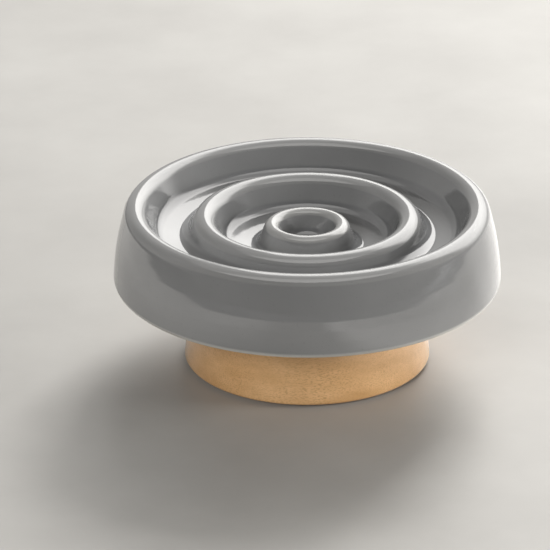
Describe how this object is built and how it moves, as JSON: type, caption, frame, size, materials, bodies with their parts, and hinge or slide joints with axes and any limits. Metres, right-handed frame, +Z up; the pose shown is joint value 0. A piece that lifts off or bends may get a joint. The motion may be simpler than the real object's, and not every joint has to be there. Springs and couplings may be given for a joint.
{
  "type": "slow feeder bowl",
  "caption": "Round glazed ceramic slow feeder bowl with concentric ridges, lifting off a turned wood stand with anti-slip pads.",
  "frame": {"origin": "on the floor under the middle of the stand, in the plane of the pads' lower faces", "axes": "+Z up along the axis that the bowl and the stand are turned about; +X to the right in the picture's view, +Y away from its viewer"},
  "size_m": [0.1998, 0.1998, 0.0854],
  "materials": {
    "glaze": "glossy grey glaze, a little lighter where it thins over the edges",
    "beech": "smooth turned beech with fine short flecks, thin satin oil",
    "silicone": "matt translucent grey silicone rubber"
  },
  "bodies": {
    "base": {"stand": "beech", "seat_ring": "silicone", "foot_pad_1": "silicone", "foot_pad_2": "silicone", "foot_pad_3": "silicone", "foot_pad_4": "silicone"},
    "bowl": {"feeder_bowl": "glaze"}
  },
  "joints": [
    {"name": "bowl_lift", "type": "slide", "parent": "base", "child": "bowl", "axis": [0, 0, 1], "range_m": [0, 0.06]}
  ]
}
